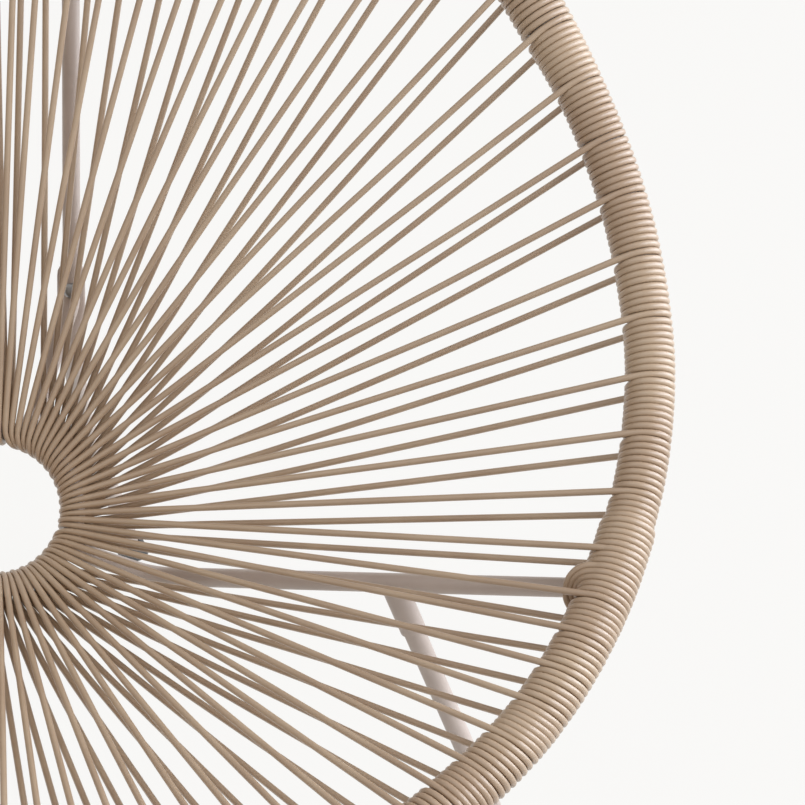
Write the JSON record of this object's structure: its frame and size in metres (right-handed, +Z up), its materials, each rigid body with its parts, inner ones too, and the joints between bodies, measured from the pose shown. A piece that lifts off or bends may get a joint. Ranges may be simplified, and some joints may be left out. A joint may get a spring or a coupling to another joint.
{
  "type": "acapulco chair",
  "caption": "Low patio lounge chair: a tilted egg-shaped tube rim wound with vinyl cord and strung to a small inner ring, on splayed steel legs.",
  "frame": {"origin": "centre of the outline on the floor, under the seat", "axes": "+Z up, -Y the way the chair faces, +X to the right of someone looking along +Y at its front"},
  "size_m": [0.758, 0.7456, 0.8262],
  "materials": {
    "frame_paint": "satin powder coat",
    "bolt_steel": "plated",
    "foot_plastic": "matte moulded",
    "seat_cord": "satin extruded vinyl"
  },
  "bodies": {
    "root": {"rim_upper_tube": "frame_paint", "rim_lower_tube": "frame_paint", "inner_ring": "frame_paint", "back_strut_right": "frame_paint", "back_strut_left": "frame_paint", "seat_rail_right": "frame_paint", "seat_rail_left": "frame_paint", "leg_socket_right": "frame_paint", "leg_socket_left": "frame_paint", "front_leg_right": "frame_paint", "front_leg_left": "frame_paint", "rear_leg_right": "frame_paint", "rear_leg_left": "frame_paint", "knee_bolt_right": "bolt_steel", "knee_bolt_left": "bolt_steel", "foot_cap_front_right": "foot_plastic", "foot_cap_front_left": "foot_plastic", "foot_cap_rear_right": "foot_plastic", "foot_cap_rear_left": "foot_plastic", "seat_cord_01": "seat_cord", "seat_cord_02": "seat_cord", "seat_cord_03": "seat_cord", "seat_cord_04": "seat_cord", "seat_cord_05": "seat_cord", "seat_cord_06": "seat_cord", "seat_cord_07": "seat_cord", "seat_cord_08": "seat_cord", "seat_cord_09": "seat_cord", "seat_cord_10": "seat_cord", "seat_cord_11": "seat_cord", "seat_cord_12": "seat_cord", "seat_cord_13": "seat_cord"}
  },
  "joints": []
}
